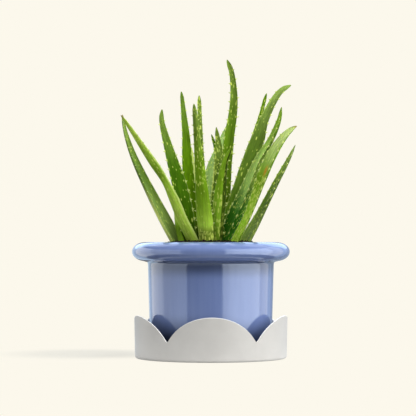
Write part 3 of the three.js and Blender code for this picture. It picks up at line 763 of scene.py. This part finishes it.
def tooth_marks(leaf):
    """The root, outward direction, direction along and size of each tooth."""
    steps = round(leaf.length / TOOTH_PITCH)
    marks = []
    for k in range(steps - 1):
        if leaf.at(k / steps)[2] <= FIRST_TOOTH_HEIGHT:
            continue
        for sign, place in ((1, RIGHT_TOOTH_PLACE), (-1, LEFT_TOOTH_PLACE)):
            t = (k + place) / steps
            along, back, side = leaf.frame(t)
            width = leaf.width(t)
            root = (leaf.at(t) + side * sign * width * TOOTH_ROOT_REACH
                    + back * MARGIN_THROUGH * width * leaf.thick)
            fullness = min(1, width / FULL_SIZE_LEAF_WIDTH)
            size = SMALLEST_TOOTH_SIZE + (1 - SMALLEST_TOOTH_SIZE) * fullness
            marks.append((root, side * sign, along, size * leaf.look.get("teeth", 1), t * leaf.length))
    return marks


def leaf_blade(name, leaf, shift):
    """The smooth blade of a leaf as one closed surface, with a loose point for the root of each tooth."""
    angles = [2 * math.pi * j / LEAF_AROUND for j in range(LEAF_AROUND)]
    section = [section_point(a) for a in angles]
    round_place = girth(section, leaf.thick)
    points, place, shape, heights = [], [], [], []
    rings = leaf_places(leaf)
    marks = tooth_marks(leaf)
    tooth_places = [np.array([mark[4] for mark in marks[first::2]]) for first in (0, 1)]
    for t in rings:
        along, back, side = leaf.frame(t)
        centre, width = leaf.at(t), leaf.width(t)
        travelled = t * leaf.length
        for spot, (across, through, face) in zip(round_place, section):
            ripple = math.sin(9 * across + 0.05 * travelled + shift)
            ridge = 0.1 * ripple * (1 - across**2) * min(1, width / 8)
            ripple = 0.99 + 0.012 * math.sin(0.21 * travelled + 2 * shift + across)
            out = through * width * leaf.thick + (ridge if face else -ridge)
            points.append(centre + side * across * width / 2 * ripple + back * out)
            place.append((spot * width, travelled, face))
            shape.append((abs(across), leaf.length - travelled, t))
            to_right = 1 if across > 0 else 0
            from_tooth = np.abs(tooth_places[1 - to_right] - travelled).min()
            heights.append((centre[2], from_tooth, to_right))
    foot, tip = len(points), len(points) + 1
    points += [leaf.at(0), leaf.at(1)]
    place += [(0, 0, 1), (0, leaf.length, 1)]
    shape += [(0, leaf.length, 0), (0, 0, 1)]
    heights += [(line_end[2], TOOTH_PITCH, 0) for line_end in (leaf.at(0), leaf.at(1))]
    faces = []
    for k in range(len(rings) - 1):
        low, high = k * LEAF_AROUND, (k + 1) * LEAF_AROUND
        for j in range(LEAF_AROUND):
            n = (j + 1) % LEAF_AROUND
            faces.append((low + j, low + n, high + n, high + j))
    top = (len(rings) - 1) * LEAF_AROUND
    for j in range(LEAF_AROUND):
        n = (j + 1) % LEAF_AROUND
        faces.append((foot, n, j))
        faces.append((tip, top + j, top + n))

    outward = [(0, 0, 0)] * len(points) + [mark[1] for mark in marks]
    upward = [(0, 0, 0)] * len(points) + [mark[2] for mark in marks]
    size = [(0, 0, 0)] * len(points) + [(mark[3],) * 3 for mark in marks]
    points += [mark[0] for mark in marks]
    blank = [(0, 0, 0)] * len(marks)
    points = [p * MM for p in points]
    return mesh_object(name, points, faces, [
        ("leaf_place", place + blank), ("leaf_shape", shape + blank), ("leaf_height", heights + blank),
        ("tooth_outward", outward), ("tooth_along", upward), ("tooth_size", size)])


def tooth_tree():
    """Grows a tooth on each marked point of a leaf, out from the margin and leaning towards the tip."""
    tree, graph, given, out = geometry_tree(
        "margin_teeth", tooth_height=TOOTH_HEIGHT * MM, tooth_base=TOOTH_BASE * MM,
        tooth_lean=TOOTH_LEAN * MM, seed=TOOTH_SEED, horn="Material")
    cone = graph.node("GeometryNodeMeshCone", {
        "Vertices": TOOTH_SIDES, "Side Segments": TOOTH_RINGS, "Fill Segments": 1, "Radius Top": 0.05,
        "Radius Bottom": 1.0, "Depth": 1.0}, fill_type="TRIANGLE_FAN")
    x, y, up = graph.parts(graph.value("GeometryNodeInputPosition"))
    narrow = 1.0 - 0.5 * graph.math("SINE", up * math.pi)
    flat = x * narrow * (given["Tooth base"] * 0.45)
    wide = y * narrow * given["Tooth base"] + up ** 1.6 * given["Tooth lean"]
    shaped = graph.value("GeometryNodeSetPosition", {
        "Geometry": graph.marked("tooth_part", cone.outputs["Mesh"], up),
        "Position": graph.joined(flat, wide, up * given["Tooth height"])})

    size = graph.read("tooth_size")
    split = graph.node("GeometryNodeSeparateGeometry", {
        "Geometry": given["Geometry"], "Selection": graph.parts(size)[0] > 0.01}, domain="POINT")
    axes = {"Primary Axis": graph.read("tooth_outward"), "Secondary Axis": graph.read("tooth_along")}
    turned = graph.value("FunctionNodeAxesToRotation", axes, primary_axis="Z", secondary_axis="Y")
    varied = graph.value(
        "FunctionNodeRandomValue", {2: 0.78, 3: 1.12, "Seed": given["Seed"]}, 1, data_type="FLOAT")
    placed = graph.value("GeometryNodeInstanceOnPoints", {
        "Points": split.outputs["Selection"], "Instance": shaped, "Rotation": turned,
        "Scale": graph.scaled(size, varied)})
    solid = graph.value("GeometryNodeRealizeInstances", {0: placed})
    smooth = graph.value("GeometryNodeSetShadeSmooth", {"Geometry": graph.coated(solid, given["Horn"])})
    graph.feed(out["Geometry"], graph.together(smooth, split.outputs["Inverted"]))
    return tree


def turned_tree():
    """Turns a profile about the Z axis, and can cut the edge that lies above a height into round lobes."""
    tree, graph, given, out = geometry_tree(
        "turned_form", around=128, profile_points=16, bend_height=0.0, edge_height=1.0, edge_line=0.001,
        front_lobe_reach=1.0, lobe_reach=1.0, lobe_rise=0.0, notch_rounding=0.0, turn=0.0, wobble=0.0,
        finish="Material")
    grid = graph.node("GeometryNodeMeshGrid", {
        "Vertices X": given["Around"] + 1, "Vertices Y": given["Profile points"]})
    index = graph.value("GeometryNodeInputIndex")
    column = graph.math("FLOOR", (index + 0.5) / given["Profile points"])
    row = index - column * given["Profile points"]
    sample = graph.value("GeometryNodeSampleIndex", {
        "Geometry": given["Geometry"], "Value": graph.value("GeometryNodeInputPosition"), "Index": row},
        data_type="FLOAT_VECTOR", domain="POINT")
    radius, _, height = graph.parts(sample)
    angle = column / given["Around"] * (2 * math.pi)

    from_front = graph.math("MINIMUM", angle, 2 * math.pi - angle)
    drop = None
    for number in range(TRAY_LOBES - 1):
        reach = given["Lobe reach" if number else "Front lobe reach"]
        offset = abs(from_front - number * 2 * math.pi / TRAY_LOBES)
        along = graph.math("DIVIDE", offset, reach, clamp=True)
        lobe = (1.0 - graph.math("SQRT", 1.0 - along ** 2.0)) * given["Lobe rise"]
        drop = lobe if drop is None else graph.math("SMOOTH_MIN", drop, lobe, given["Notch rounding"])
    wall = graph.math("DIVIDE", height - given["Bend height"], given["Edge height"] - given["Bend height"],
                      clamp=True)

    turned = angle + given["Turn"]
    east, north = graph.math("COSINE", turned), graph.math("SINE", turned)
    around = graph.joined(east * 1.4, north * 1.4, height * 30.0)
    uneven = (graph.noise(around, 1.3, 2.0, 0.5) - 0.5) * given["Wobble"]
    wide = radius + uneven * (radius > 0.02)
    # A mask of the band under the top edge, for a painted highlight
    edge_highlight_part = graph.math("SUBTRACT", 1.0, (given["Edge height"] - height) / given["Edge line"], clamp=True)
    shaped = graph.value("GeometryNodeSetPosition", {
        "Geometry": grid.outputs["Mesh"],
        "Position": graph.joined(wide * east, wide * north, height - wall * drop)})
    merged = graph.value("GeometryNodeMergeByDistance", {
        "Geometry": graph.marked("edge_highlight_part", shaped, edge_highlight_part), "Distance": 0.002 * MM})
    coated = graph.coated(merged, given["Finish"])
    graph.feed(out["Geometry"], graph.value("GeometryNodeSetShadeSmooth", {"Geometry": coated}))
    return tree


def crumb_tree():
    """Scatters uneven crumbs over the part of the soil that its mask marks."""
    tree, graph, given, out = geometry_tree(
        "soil_crumbs", crumb_radius=CRUMB_RADIUS * MM, density=1.0, seed=CRUMB_SEED, earth="Material")
    scatter = graph.node("GeometryNodeDistributePointsOnFaces", {
        "Mesh": given["Geometry"], "Selection": graph.parts(graph.read("soil_top"))[0] > 0.5,
        "Density": given["Density"], "Seed": given["Seed"]}, distribute_method="RANDOM")
    ball = graph.node("GeometryNodeMeshIcoSphere", {"Radius": given["Crumb radius"], "Subdivisions": 1})
    turn, size = (graph.value("FunctionNodeRandomValue", {0: low, 1: high, "Seed": seed},
                              data_type="FLOAT_VECTOR")
                  for low, high, seed in (((0, 0, 0), (2 * math.pi,) * 3, given["Seed"]),
                                          (*CRUMB_SIZES, given["Seed"] + 5)))
    placed = graph.value("GeometryNodeInstanceOnPoints", {
        "Points": scatter.outputs["Points"], "Instance": ball.outputs["Mesh"],
        "Rotation": graph.value("FunctionNodeEulerToRotation", {0: turn}), "Scale": size})
    solid = graph.value("GeometryNodeRealizeInstances", {0: placed})
    graph.feed(out["Geometry"], graph.coated(graph.together(solid, given["Geometry"]), given["Earth"]))
    return tree


def arc(centre_radius, centre_height, half_width, half_height, start, end, steps):
    """Points on an ellipse's arc as (radius, height), with the angles in degrees."""
    angles = [math.radians(start + (end - start) * i / steps) for i in range(steps + 1)]
    return [(centre_radius + half_width * math.cos(a), centre_height + half_height * math.sin(a))
            for a in angles]


def between(start, end, steps):
    """Points after the start and before the end of a straight line."""
    return [tuple(a + (b - a) * i / steps for a, b in zip(start, end)) for i in range(1, steps)]


def turned_form(name, profile, tree, finish, **values):
    """A form turned from a profile of (radius, height) in millimetres."""
    source = mesh_object(name + "_profile", [(r * MM, 0, z * MM) for r, z in profile], [])
    add_tree(source, tree, profile_points=len(profile), finish=finish, **values)
    return finished(source, name)


def pot_profile():
    rim_height = POT_TOP - RIM_HALF_HEIGHT
    underside = rim_height - RIM_HALF_HEIGHT
    inner_top = BODY_TOP_RADIUS - POT_WALL - INNER_NECK_INSET
    inner_base = BODY_BASE_RADIUS - POT_WALL
    floor_top = POT_BASE + POT_FLOOR
    bend = POT_FOOT_BEND
    foot = (BODY_BASE_RADIUS, POT_BASE + bend)
    neck = (BODY_TOP_RADIUS, underside - RIM_FILLET_START)
    outer_rim = arc(RIM_RADIUS - RIM_OUTER_HALF_WIDTH, rim_height, RIM_OUTER_HALF_WIDTH, RIM_HALF_HEIGHT,
                    RIM_UNDERCUT_ANGLE, 90, 44)
    inner_rim = arc(RIM_MOUTH_RADIUS + RIM_INNER_HALF_WIDTH, rim_height,
                    RIM_INNER_HALF_WIDTH, RIM_HALF_HEIGHT,
                    90, 180, 16)
    fillet = (BODY_TOP_RADIUS + RIM_FILLET, underside - RIM_FILLET_END)
    return [
        (DRAIN_RADIUS, POT_BASE),
        *between((DRAIN_RADIUS, POT_BASE), (BODY_BASE_RADIUS - bend, POT_BASE), 8),
        *arc(BODY_BASE_RADIUS - bend, POT_BASE + bend, bend, bend, -90, 0, 6),
        *between(foot, neck, 24),
        neck,
        (BODY_TOP_RADIUS + FILLET_BULGE, underside - FILLET_MIDDLE),
        fillet,
        *outer_rim,
        *inner_rim[1:],
        (inner_top, rim_height - INNER_RIM_DROP),
        *between((inner_top, rim_height - INNER_RIM_DROP), (inner_base, floor_top + bend), 10),
        *arc(inner_base - bend, floor_top + bend, bend, bend, 0, -90, 5),
        (DRAIN_RADIUS, floor_top),
        (DRAIN_RADIUS, POT_BASE),
    ]


def tray_profile():
    flat = TRAY_BASE_RADIUS - TRAY_BEND
    sheet = TRAY_SHEET
    edge = TRAY_EDGE_ROUNDING
    outer_bend = arc(flat, TRAY_BEND, TRAY_BEND, TRAY_BEND, -90, 0, 8)
    inner_bend = arc(flat, TRAY_BEND, TRAY_BEND - sheet, TRAY_BEND - sheet, 0, -90, 5)
    lip = TRAY_HEIGHT - edge
    return [
        (0, 0),
        *between((0, 0), (flat, 0), 10),
        *outer_bend,
        *between(outer_bend[-1], (TRAY_RADIUS, lip - EDGE_HIGHLIGHT_BAND), 14),
        *between((TRAY_RADIUS, lip - EDGE_HIGHLIGHT_BAND), (TRAY_RADIUS, lip), 3),
        *arc(TRAY_RADIUS - edge, lip, edge, edge, 0, 90, 4),
        *arc(TRAY_RADIUS - sheet + edge, lip, edge, edge, 90, 180, 4),
        *between((TRAY_RADIUS - sheet, lip), (TRAY_BASE_RADIUS - sheet, TRAY_BEND), 14),
        *inner_bend,
        *between((flat, sheet), (0, sheet), 10),
        (0, sheet),
    ]


def soil_height(radius):
    step = min(1, max(0, (radius - HEAP_INNER_RADIUS) / (RIM_MOUTH_RADIUS - HEAP_INNER_RADIUS)))
    return SOIL_EDGE + (SOIL_TOP - SOIL_EDGE) * (1 - step * step * (3 - 2 * step))


def lumps(x, y):
    """Uneven ground from crossed waves at three scales, in millimetres."""
    coarse = math.sin(0.41 * x + 1.3) * math.sin(0.37 * y - 0.6)
    middle = math.sin(0.93 * x - 0.71 * y) + math.sin(0.67 * x + 1.07 * y + 2)
    fine = math.sin(2.1 * x + 0.9 * y + 1) * math.sin(1.7 * y - 1.2 * x)
    return SOIL_LUMPS * (coarse + 0.35 * middle + 0.3 * fine)


def soil_form():
    """The soil as one closed form with an uneven top, which is marked for the crumbs."""
    edge_radius = RIM_MOUTH_RADIUS - SOIL_CLEARANCE
    floor_top = POT_BASE + POT_FLOOR
    inner_base = BODY_BASE_RADIUS - POT_WALL - SOIL_CLEARANCE
    inner_top = BODY_TOP_RADIUS - POT_WALL - INNER_NECK_INSET - SOIL_CLEARANCE
    rim_height = POT_TOP - RIM_HALF_HEIGHT
    side = [
        (inner_base - POT_FOOT_BEND, floor_top),
        (inner_base, floor_top + POT_FOOT_BEND),
        (inner_top, rim_height - INNER_RIM_DROP),
        (edge_radius, rim_height),
    ]
    top = [(edge_radius * (1 - i / SOIL_RINGS), None) for i in range(SOIL_RINGS)]
    points, marks, rings = [], [], []
    for radius, height in side + top:
        ring = []
        for j in range(SOIL_AROUND):
            angle = 2 * math.pi * j / SOIL_AROUND
            x, y = radius * math.cos(angle), radius * math.sin(angle)
            is_top = height is None
            z = soil_height(radius) + lumps(x, y) if is_top else height
            ring.append(len(points))
            points.append((x * MM, y * MM, z * MM))
            marks.append((1.0 if is_top else 0.0, 0, 0))
        rings.append(ring)
    faces = []
    for low, high in zip(rings, rings[1:]):
        faces += [(low[j], low[(j + 1) % SOIL_AROUND], high[(j + 1) % SOIL_AROUND], high[j])
                  for j in range(SOIL_AROUND)]
    base, peak = len(points), len(points) + 1
    points += [(0, 0, floor_top * MM), (0, 0, (SOIL_TOP + lumps(0, 0)) * MM)]
    marks += [(0, 0, 0), (1, 0, 0)]
    faces += [(base, rings[0][(j + 1) % SOIL_AROUND], rings[0][j]) for j in range(SOIL_AROUND)]
    faces += [(peak, rings[-1][j], rings[-1][(j + 1) % SOIL_AROUND]) for j in range(SOIL_AROUND)]
    return mesh_object("soil_form", points, faces, [("soil_top", marks)])


def dress(piece, node):
    """The piece rides on the part and stands for the CAD node, which is hidden."""
    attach(piece, "root")
    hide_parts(node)


def make_leaves():
    horn = tooth_horn()
    teeth = tooth_tree()
    for number, (name, values) in enumerate(LEAVES.items()):
        leaf = Leaf(**values)
        shift = PATTERN_SHIFT * number
        blade = leaf_blade(name + "_marked", leaf, shift)
        blade.data.materials.append(leaf_skin(name + "_skin", leaf.look, shift))
        add_tree(blade, teeth, horn=horn, seed=TOOTH_SEED + number)
        dress(finished(blade, name + "_blade"), name)


def make_pot_and_tray():
    turned = turned_tree()
    pot = turned_form("pot_glazed", pot_profile(), turned, pot_glaze(), around=POT_AROUND,
                      wobble=THROWING_WOBBLE * MM)
    dress(pot, "pot")
    tray = turned_form(
        "tray_coated", tray_profile(), turned, tray_coat(), around=TRAY_AROUND, bend_height=TRAY_BEND * MM,
        edge_height=TRAY_HEIGHT * MM, edge_line=EDGE_HIGHLIGHT_BAND * MM, lobe_reach=LOBE_HALF_WIDTH / TRAY_RADIUS,
        front_lobe_reach=FRONT_LOBE_HALF_WIDTH / TRAY_RADIUS, lobe_rise=LOBE_RISE * MM,
        notch_rounding=NOTCH_ROUNDING * MM, turn=math.radians(TRAY_TURN - 90))
    dress(tray, "tray")


def make_soil():
    form = soil_form()
    add_tree(form, crumb_tree(), density=float(CRUMBS_PER_SQUARE_METRE), earth=soil_crumb())
    dress(finished(form, "soil_crumbs"), "soil")


# Studio, in metres: pale floor, cream surround and wide soft lights. Azimuths are degrees from the camera's
# side, and a light's brightness is that of its surface.
FLOOR_RADIUS = 12.0
FLOOR_DROP = 0.0002
PATCH_RADIUS = 0.112
PATCH_WHITE = 0.6
FAR_FLOOR_WHITE = 0.1
SHADOW_PLACE = (-0.13, 0.07)
SHADOW_REACH = (0.11, 0.11)
SHADOW_SHARE = 0.5
FLOOR_LIGHT = 1.85
WORLD_GREY = 0.12
LIGHT_DISTANCE = 1.5
PANEL_FOOT = -0.9
BACK_TONE = (0.62, 0.8, 1.0)
PANELS = {
    "panel_right_edge": dict(azimuths=(21, 33), top=1.3, brightness=1.75),
    "panel_right_inner": dict(azimuths=(33, 50), top=1.3, brightness=2.35),
    "panel_right_middle": dict(azimuths=(50, 100), top=1.3, brightness=2.6),
    "panel_right_side": dict(azimuths=(100, 128), top=1.3, brightness=1.45),
    "panel_right_strip": dict(azimuths=(128, 143), top=1.3, brightness=0.8, tone=BACK_TONE),
    "panel_back_right": dict(azimuths=(143, 175), top=1.2, brightness=0.4, tone=BACK_TONE),
    "panel_left_front": dict(azimuths=(-97, -44), top=0.9, brightness=1.0),
    "panel_left_side": dict(azimuths=(-140, -97), top=0.9, brightness=1.6),
    "panel_left_back": dict(azimuths=(-170, -140), top=0.9, brightness=1.0, tone=BACK_TONE),
}
TOP_PANEL_SIZE = (1.8, 1.8)
TOP_PANEL_PLACE = (0.05, -0.5, 1.5)
TOP_PANEL_BRIGHTNESS = 3.0
BACK_TOP_PANEL_SIZE = (2.4, 0.7)
BACK_TOP_PANEL_PLACE = (0.1, 0.6, 1.35)
BACK_TOP_PANEL_BRIGHTNESS = 1.0
BACK_PANEL_SIZE = (2.4, 1.1)
BACK_PANEL_PLACE = (0.0, 1.4, 0.95)
BACK_PANEL_BRIGHTNESS = 1.7
FLOOR_PANEL_SIZE = (0.9, 0.4)
FLOOR_PANEL_PLACE = (-0.05, -0.32, 0.004)
FLOOR_PANEL_BRIGHTNESS = 0.28


def pale_floor():
    """Cream with a soft shadow for the camera; for other rays, a pale patch in a dull floor."""
    material, graph, seen = new_material(
        "pale_floor", Roughness=0.9, Specular_IOR_Level=0.0, Emission_Strength=1.0)
    x, y, _ = graph.parts(graph.place())
    aside, away = ((value - middle) / reach
                   for value, middle, reach in zip((x, y), SHADOW_PLACE, SHADOW_REACH))
    share = graph.ranged(graph.math("SQRT", aside ** 2.0 + away ** 2.0), 0.3, 1.0, SHADOW_SHARE, 0.0)
    lit = tuple(min(1.0, c / FLOOR_LIGHT) for c in CREAM[:3]) + (1,)
    graph.feed(seen["Emission Color"], graph.blended(share, CREAM, grey(0)))
    graph.feed(seen["Base Color"], graph.blended(share, grey(0), lit))

    is_far = graph.math("SQRT", x ** 2.0 + y ** 2.0) > PATCH_RADIUS
    dull = graph.value("ShaderNodeBsdfDiffuse", {
        "Color": graph.blended(is_far, grey(PATCH_WHITE), grey(FAR_FLOOR_WHITE))})
    paths = graph.named(graph.node("ShaderNodeLightPath").outputs)
    # Reflections pass through the floor beyond the patch
    open_floor = graph.mixed(
        paths["Is Glossy Ray"] * is_far, dull, graph.value("ShaderNodeBsdfTransparent"))
    nodes = material.node_tree.nodes
    graph.feed(nodes["Material Output"].inputs["Surface"],
               graph.mixed(paths["Is Camera Ray"], open_floor, nodes["Principled BSDF"].outputs[0]))
    return material


def make_floor():
    disc = bmesh.new()
    bmesh.ops.create_circle(disc, cap_ends=True, segments=96, radius=FLOOR_RADIUS)
    mesh = bpy.data.meshes.new("studio_floor")
    disc.to_mesh(mesh)
    disc.free()
    for vertex in mesh.vertices:
        vertex.co.z = -FLOOR_DROP
    mesh.materials.append(pale_floor())
    linked("studio_floor", mesh)


def make_surround():
    """Cream behind the object, and a dim grey studio for its light and reflections."""
    world = bpy.data.worlds.new("studio_surround")
    bpy.context.scene.world = world
    world.use_nodes = True
    world.node_tree.nodes.clear()
    graph = Graph(world.node_tree)
    seen, lit = (graph.value("ShaderNodeBackground", {"Color": colour})
                 for colour in (CREAM, grey(WORLD_GREY)))
    is_seen = graph.value("ShaderNodeLightPath", output="Is Camera Ray")
    graph.node("ShaderNodeOutputWorld", {0: graph.mixed(is_seen, lit, seen)})


def panel(name, place, size, brightness, target, tone=(1, 1, 1)):
    """A soft rectangular light at a place, turned to a target, whose surface has the given brightness."""
    light = bpy.data.lights.new(name, "AREA")
    light.shape = "RECTANGLE"
    light.size, light.size_y = size
    light.energy = brightness * math.pi * size[0] * size[1]
    light.color = tone
    made = linked(name, light)
    made.location = place
    made.rotation_euler = (Vector(place) - Vector(target)).to_track_quat("Z", "Y").to_euler()
    return made


def make_lights():
    for name, values in PANELS.items():
        start, end = (math.radians(a) for a in values["azimuths"])
        middle = (start + end) / 2
        size = (2 * LIGHT_DISTANCE * math.tan((end - start) / 2), values["top"] - PANEL_FOOT)
        level = (values["top"] + PANEL_FOOT) / 2
        place = (LIGHT_DISTANCE * math.sin(middle), -LIGHT_DISTANCE * math.cos(middle), level)
        panel(name, place, size, values["brightness"], (0, 0, level), values.get("tone", (1, 1, 1)))
    pot_top = (0, 0, POT_TOP * MM)
    top = panel("panel_top", TOP_PANEL_PLACE, TOP_PANEL_SIZE, TOP_PANEL_BRIGHTNESS, pot_top)
    top.visible_glossy = False
    panel("panel_back_top", BACK_TOP_PANEL_PLACE, BACK_TOP_PANEL_SIZE, BACK_TOP_PANEL_BRIGHTNESS, pot_top)
    panel("panel_back", BACK_PANEL_PLACE, BACK_PANEL_SIZE, BACK_PANEL_BRIGHTNESS, pot_top, BACK_TONE)
    above = (*FLOOR_PANEL_PLACE[:2], 1.0)
    panel("panel_floor", FLOOR_PANEL_PLACE, FLOOR_PANEL_SIZE, FLOOR_PANEL_BRIGHTNESS, above)


def make_camera():
    """A line of sight that is raised a little, so that the object stands below the middle of the frame."""
    data = bpy.data.cameras.new("camera")
    data.sensor_width = 36
    data.sensor_fit = "HORIZONTAL"
    data.lens = PIXELS_AT_AXIS * data.sensor_width / IMAGE_SIZE
    made = linked("camera", data)
    raised = math.atan((LEVEL_ROW - IMAGE_SIZE / 2) / PIXELS_AT_AXIS)
    made.location = ((IMAGE_SIZE / 2 - AXIS_COLUMN) * MM, -CAMERA_DISTANCE * MM, CAMERA_HEIGHT * MM)
    made.rotation_euler = (math.pi / 2 + raised, 0, 0)
    bpy.context.scene.camera = made
    bpy.context.scene.view_settings.view_transform = "Standard"


make_leaves()
make_pot_and_tray()
make_soil()
make_floor()
make_surround()
make_lights()
make_camera()
